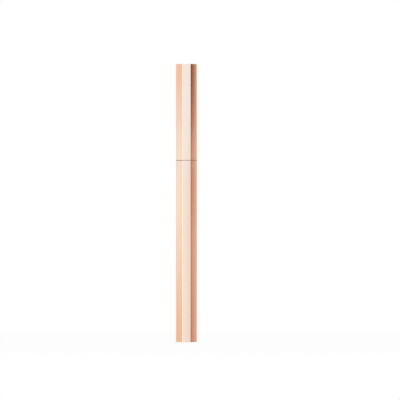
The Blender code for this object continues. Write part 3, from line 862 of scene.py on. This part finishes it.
def make_holder():
    """The short black cone that holds the brush: slightly swollen, with a thin eased rim."""
    top = holder_high.z
    foot = section_high.z
    neck = foot - HOLDER_NECK
    body = (holder_high.x - holder_low.x) / 2
    counterbore = holder_low.z + HOLDER_COUNTERBORE
    outside = []
    for step in range(HOLDER_STEPS + 1):
        share = step / HOLDER_STEPS
        swell = HOLDER_SWELL * math.sin(math.pi * share)
        radius = HOLDER_TIP_RADIUS + (HOLDER_NECK_RADIUS - HOLDER_TIP_RADIUS) * share + swell
        outside.append((radius, top - (top - foot) * share))
    profile = rounded((BRUSH_BORE, top), (BRUSH_BORE, counterbore), outside[0])
    profile += rounded(outside[0], (BRUSH_BORE, top), outside[1])
    profile += outside[1:]
    profile += [
        (HOLDER_NECK_RADIUS, neck - HOLDER_SEAT),
        (body, neck - HOLDER_SEAT),
        (body, holder_low.z),
        (COUNTERBORE_RADIUS, holder_low.z),
        (COUNTERBORE_RADIUS, counterbore),
        (BRUSH_BORE, counterbore),
    ]
    return turned("holder_gloss", profile)


def envelope(distance):
    """How wide the brush is so far below its tip, as a share of its full radius."""
    share = min(distance / POINT_LENGTH, 1)
    return POINT_BLUNT + (1 - POINT_BLUNT) * (1 - (1 - share) ** POINT_BEND)


def add_filament(solid, index, chance):
    """One tapered filament. All draw in alike towards the point, each swaying a little on its own."""
    tip = brush_high.z
    root = tip - (holder_high.z - BUTT_RECESS) + FILAMENT_LAP
    radius_share = math.sqrt((index + 0.5) / FILAMENTS)
    thickness = FILAMENT_PACK * BUTT_RADIUS * math.sqrt(math.pi / FILAMENTS)
    turn = math.tau * index / GOLDEN_RATIO**2
    foot = outward(turn) * (BUTT_RADIUS - thickness) * radius_share
    end = POINT_LENGTH * POINT_STAGGER * chance.random() * radius_share
    lean = Vector((chance.uniform(-1, 1), chance.uniform(-1, 1), 0)) * FILAMENT_SWAY * BUTT_RADIUS
    rings = []
    for level in range(FILAMENT_RINGS):
        share = level / FILAMENT_RINGS
        distance = root + (end - root) * share
        width = envelope(distance)
        centre = foot * width + lean * width * math.sin(math.pi * share) + Vector((0, 0, tip - distance))
        ring = []
        for side in range(FILAMENT_SIDES):
            angle = turn + math.tau * side / FILAMENT_SIDES
            ring.append(solid.verts.new(centre + outward(angle) * thickness * width))
        rings.append(ring)
    point = solid.verts.new(foot * envelope(end) + Vector((0, 0, tip - end)))
    solid.faces.new(reversed(rings[0]))
    for side in range(FILAMENT_SIDES):
        following = (side + 1) % FILAMENT_SIDES
        for lower, upper in zip(rings, rings[1:]):
            solid.faces.new((lower[side], lower[following], upper[following], upper[side]))
        solid.faces.new((rings[-1][side], rings[-1][following], point))


def make_brush():
    """The filaments and the bonded butt that they stand in, as one piece."""
    top = holder_high.z - BUTT_RECESS
    flange_top = brush_low.z + BUTT_FLANGE
    socket = brush_low.z + BUTT_SOCKET
    profile = [
        (0, top),
        (BUTT_RADIUS, top),
        (BUTT_RADIUS, flange_top),
        (brush_high.x, flange_top),
        (brush_high.x, brush_low.z),
        (CORE_BORE, brush_low.z),
        (CORE_BORE, socket),
        (0, socket),
    ]
    brush = turned("brush_filaments", profile)
    chance = random.Random(BRUSH_SEED)
    solid = bmesh.new()
    solid.from_mesh(brush.data)
    for index in range(FILAMENTS):
        add_filament(solid, index, chance)
    solid.to_mesh(brush.data)
    solid.free()
    smooth(brush)
    return brush


def make_plug():
    """The ribbed cup that closes the tank from below."""
    low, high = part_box("tail_plug")
    core = high.x - PLUG_RIB
    bore = core - PLUG_WALL
    ceiling = high.z - PLUG_TOP
    profile = [(0, high.z), (core, high.z)]
    for rib in range(1, PLUG_RIBS + 1):
        crest = high.z - (high.z - low.z) * rib / (PLUG_RIBS + 1)
        rib_high = crest + PLUG_RIB_HEIGHT / 2
        rib_low = crest - PLUG_RIB_HEIGHT / 2
        profile += [(core, rib_high), (high.x, crest), (core, rib_low)]
    profile += [(core, low.z), (bore, low.z), (bore, ceiling), (0, ceiling)]
    return turned("plug_moulding", eased(profile))


def make_ball():
    """The loose ball that stirs the ink."""
    low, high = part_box("stirring_ball")
    radius = (high.z - low.z) / 2
    side = arc((0, low.z + radius), (radius, radius), math.pi / 2, -math.pi / 2, BALL_STEPS)
    return turned("polished_ball", [(0, high.z), *side[1:-1], (0, low.z)])


def make_core():
    """The fibre rod that leads the ink to the brush."""
    low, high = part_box("feed_core")
    profile = [(0, high.z), (high.x, high.z), (high.x, low.z), (0, low.z)]
    return turned("fibre_rod", eased(profile, CORE_ROUNDING))


def make_collector():
    """The comb: thin fins on a bored stem, with an ink slot and a wider air slot cut through them."""
    low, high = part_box("collector")
    rim = high.x
    comb_low = low.z + COLLECTOR_SPIGOT
    comb_high = collar_low.z - SEAT
    disc_foot = comb_high - END_DISC
    nose = COUNTERBORE_RADIUS - FIT
    front = SECTION_BORE - FIT
    seat = COLLAR_BORE - FIT
    profile = [(CORE_BORE, high.z), (nose, high.z), (nose, holder_low.z - SEAT)]
    profile += [(front, holder_low.z - SEAT), (front, section_low.z - SEAT)]
    profile += [(seat, section_low.z - SEAT), (seat, comb_high)]
    pitch = (comb_high - comb_low - END_DISC) / FINS
    comb = [(rim, comb_high), (rim, disc_foot), (COMB_CORE_RADIUS, disc_foot)]
    for fin in range(FINS):
        foot = disc_foot - pitch * (fin + 1)
        comb += [(COMB_CORE_RADIUS, foot + FIN_THICKNESS), (rim, foot + FIN_THICKNESS)]
        comb += [(rim, foot), (COMB_CORE_RADIUS, foot)]
    profile += comb[:-1]
    profile += [(COLLECTOR_SPIGOT_RADIUS, comb_low), (COLLECTOR_SPIGOT_RADIUS, low.z), (CORE_BORE, low.z)]
    collector = turned("comb_moulding", eased(profile, steps=FIN_STEPS), COMB_SEGMENTS)
    start = comb_low - OVERRUN
    end = comb_high - END_DISC / 2
    past = rim + OVERRUN
    ink_low = Vector((-past, -INK_SLOT_WIDTH / 2, start))
    ink_high = Vector((-INK_SLOT_FLOOR, INK_SLOT_WIDTH / 2, end))
    air_low = Vector((rim - AIR_SLOT_DEPTH, -AIR_SLOT_WIDTH / 2, start))
    air_high = Vector((past, AIR_SLOT_WIDTH / 2, end))
    cut_out(collector, block("ink_slot", ink_low, ink_high), block("air_slot", air_low, air_high))
    return collector


def make_inner_cap():
    """The cup that seals the brush, whose lip closes on the section's cone."""
    low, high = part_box("inner_cap")
    bore = high.x - INNER_CAP_WALL
    ceiling = high.z - INNER_CAP_TOP
    lip = cone_radius(low.z) + FIT
    lip_top = low.z + SEAL_LIP_HEIGHT
    profile = [(0, high.z), (high.x, high.z), (high.x, low.z), (lip, low.z)]
    profile += [(lip, lip_top - SEAL_LIP_HEIGHT / 2), (bore, lip_top), (bore, ceiling), (0, ceiling)]
    return turned("inner_cap_cup", eased(profile))


def fit(piece, body, slot, material, *nodes):
    """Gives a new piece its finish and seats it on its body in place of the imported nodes."""
    piece.data.materials.append(material)
    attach(piece, body)
    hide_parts(*nodes)


def dress(node, material):
    """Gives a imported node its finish."""
    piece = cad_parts[node]
    piece.material_slots[0].material = material


def lit_group(name, *pieces):
    """Groups the pieces that some lamps, or the tent, light alone."""
    group = bpy.data.collections.new(name)
    for piece in pieces:
        group.objects.link(bpy.data.objects[piece])


def shine_on(light, group):
    """Lets a lamp or the tent light only the pieces of one group."""
    light.light_linking.receiver_collection = bpy.data.collections[group]


def make_floor():
    """A pale round floor that fades out before its rim, so that only the pen's shadow shows on it."""
    solid = bmesh.new()
    bmesh.ops.create_circle(solid, cap_ends=True, radius=FLOOR_RADIUS, segments=FLOOR_SEGMENTS)
    floor = place_solid("floor", solid)
    floor.location.z = -FLOOR_DROP
    floor.visible_glossy = False
    material, finish = new_material("pale_floor")
    place = finish.object_place()
    radius = finish.node("ShaderNodeVectorMath", {"operation": "LENGTH"}, {0: place}, "Value")
    tone = finish.mix(finish.noise(place, PAPER, detail=4), *PAPER_TONES)
    paper = finish.principled(Base_Color=tone, Roughness=1.0, Specular_IOR_Level=0.0)
    white = finish.node("ShaderNodeEmission", sockets={"Strength": 1.0})
    clear = finish.node("ShaderNodeBsdfTransparent")
    whitened = finish.white_rays() * FLOOR_WHITE
    shown = finish.node("ShaderNodeMixShader", sockets={0: whitened, 1: paper, 2: white})
    fade = radius.rise(FLOOR_CLEAR_RADIUS, FLOOR_RADIUS)
    below = finish.node("ShaderNodeNewGeometry", output="Backfacing")
    unseen = fade.maths("MAXIMUM", fade, below)
    finish.surface(finish.node("ShaderNodeMixShader", sockets={0: unseen, 1: shown, 2: clear}))
    floor.data.materials.append(material)


def tent_cloth():
    """Cloth that glows: warmer at the left's ends, cooler high up ahead, graded by height on the right."""
    material, finish = new_material("tent_cloth")
    place = finish.object_place()
    x = finish.axis(place, "X")
    y = finish.axis(place, "Y")
    height = finish.axis(place, "Z") / cad_high.z
    turn = x.maths("ARCTAN2", x, -y) / math.tau
    stops = [(0.5 + degrees / 360, colour) for degrees, colour in TENT_LIGHT]
    cloth = finish.ramp(turn + 0.5, stops)
    left = (-turn).rise(*LEFT_STARTS)
    right = turn.rise(*RIGHT_STARTS)
    ahead = 1 - (left + turn.rise(*AHEAD_ENDS)).rise(0.0, 1.0)
    ends = (1 - height.rise(*WARM_FOOT_ENDS)) + height.rise(*WARM_HEAD_STARTS) * WARM_HEAD_SHARE
    warmed = finish.mix(ends * left, cloth, TENT_WARM)
    cooled = finish.mix(height.rise(*COOL_STARTS) * ahead, warmed, TENT_COOL)
    grading = finish.mix(1.0, cooled, finish.ramp(height, TENT_RIGHT), "MULTIPLY")
    graded = finish.mix(right * (1 - turn.rise(*RIGHT_ENDS)), cooled, grading)
    crown = finish.mix(right * (1 - turn.rise(*RIGHT_CROWN_ENDS)), TENT_CROWN, TENT_CROWN_RIGHT)
    light = finish.mix(height.rise(*CROWN_STARTS), graded, crown)
    shader = finish.principled(
        Base_Color=BLACK,
        Specular_IOR_Level=0.0,
        Emission_Color=light,
        Emission_Strength=1.0,
    )
    finish.surface(shader)
    return material


def make_light_tent():
    """The cloth wall round the pen, which only the case's reflections see."""
    solid = bmesh.new()
    rims = []
    for height in (TENT_LOW, TENT_HIGH):
        rim = []
        for segment in range(TENT_SEGMENTS):
            turn = math.tau * segment / TENT_SEGMENTS
            rim.append(solid.verts.new(beside_pen(turn, TENT_RADIUS, height)))
        rims.append(rim)
    for segment in range(TENT_SEGMENTS):
        beside = (segment + 1) % TENT_SEGMENTS
        solid.faces.new((rims[0][segment], rims[0][beside], rims[1][beside], rims[1][segment]))
    tent = place_solid("light_tent", solid)
    tent.visible_camera = False
    tent.visible_diffuse = False
    tent.visible_transmission = False
    tent.visible_shadow = False
    material = tent_cloth()
    material.cycles.emission_sampling = "NONE"
    tent.data.materials.append(material)
    shine_on(tent, "case")


def make_world():
    """White to the camera and in what gleams, and an even fill for everything else."""
    world = bpy.data.worlds.new("studio")
    bpy.context.scene.world = world
    world.use_nodes = True
    finish = Finish(world.node_tree)
    strength = finish.white_rays().spread(WORLD_FILL, 1)
    light = finish.node("ShaderNodeBackground", sockets={"Color": WHITE, "Strength": strength})
    finish.node("ShaderNodeOutputWorld", sockets={"Surface": light})


def softbox(name, degrees, distance, height, size, radiance, colour, group):
    """A rectangular lamp that faces the pen's middle from so many degrees round it."""
    lamp = bpy.data.lights.new(name, "AREA")
    lamp.shape = "RECTANGLE"
    lamp.size, lamp.size_y = size
    lamp.color = colour
    lamp.energy = radiance * math.pi * size[0] * size[1]
    box = place_object(name, lamp)
    aim = Vector((0, 0, cad_high.z / 2))
    box.location = beside_pen(math.radians(degrees), distance, height)
    box.rotation_euler = (box.location - aim).to_track_quat("Z", "Y").to_euler()
    box.visible_camera = False
    if group:
        shine_on(box, group)


def make_camera():
    """A long lens, level with the middle of the photograph's frame."""
    metres = (cad_high.z - cad_low.z) / (PEN_BASE_Y - PEN_TOP_Y)
    middle = PHOTO_SIDE / 2
    data = bpy.data.cameras.new("camera")
    data.sensor_width = SENSOR_MM
    data.lens = SENSOR_MM * CAMERA_DISTANCE / (PHOTO_SIDE * metres)
    camera = place_object("camera", data)
    across = (middle - PEN_MIDDLE_X) * metres
    camera.location = (across, -CAMERA_DISTANCE, (PEN_BASE_Y - middle) * metres)
    camera.rotation_euler = (math.pi / 2, 0, 0)
    bpy.context.scene.camera = camera


# The barrel's mouth rim takes the arrises' paler tint, which is partly a painted highlight
fit(
    make_case("barrel_case", barrel_low.z, barrel_high.z, BARREL_RIM_ROUNDING, WORN_AND_HIGHLIT),
    "barrel",
    "anodised_metal",
    anodised("barrel_anodising", barrel_low.z, barrel_high.z, BARREL_TINTS_AND_SHADE),
    "barrel_shell",
)
# The cap's rim takes the dark cut tint: painted shade in the seam
fit(
    make_case("cap_case", cap_high.z, barrel_high.z + SEAM_GAP, CAP_RIM_ROUNDING, SHADED_CUT),
    "cap",
    "anodised_metal",
    anodised("cap_anodising", cap_low.z, cap_high.z, CAP_TINTS_AND_SHADE),
    "cap_shell",
)
collar_black = gloss_black("collar_black", mottle=0.3, polish=0.15, gleam=0.45)
section_black = gloss_black("section_black", mottle=0.15, polish=0.13, gleam=0.5)
holder_black = gloss_black("holder_black", mottle=0.5, polish=0.32, gleam=0.28)
filament_black = inked_filament("inked_filament", holder_high.z, brush_high.z)
fit(make_collar(), "barrel", "black_gloss", collar_black, "joint_collar")
fit(make_section(), "barrel", "black_gloss", section_black, "section")
fit(make_holder(), "barrel", "black_gloss", holder_black, "nib_holder")
fit(make_brush(), "barrel", "brush_filament", filament_black, "brush")
dress("inner_barrel", matt_black("barrel_lining_black"))
dress("cap_liner", matt_black("cap_lining_black"))
plug_plastic = natural_plastic("plug_plastic", inked=0.3)
collector_plastic = natural_plastic("collector_plastic", inked=0.6)
inner_cap_plastic = natural_plastic("inner_cap_plastic", inked=0.15)
fit(make_plug(), "barrel", "natural_plastic", plug_plastic, "tail_plug")
fit(make_ball(), "stirring_ball", "ball_steel", steel("ball_steel"), "stirring_ball")
fit(make_collector(), "barrel", "natural_plastic", collector_plastic, "collector")
fit(make_core(), "barrel", "feed_fibre", bonded_fibre("core_fibre"), "feed_core")
fit(make_inner_cap(), "cap", "natural_plastic", inner_cap_plastic, "inner_cap")

lit_group("case", "barrel_case", "cap_case")
lit_group("front_end", "collar_gloss", "section_gloss", "holder_gloss", "brush_filaments")
make_floor()
make_light_tent()
make_world()
for lamp in SOFTBOXES:
    softbox(*lamp)
make_camera()
bpy.context.scene.view_settings.view_transform = "Standard"
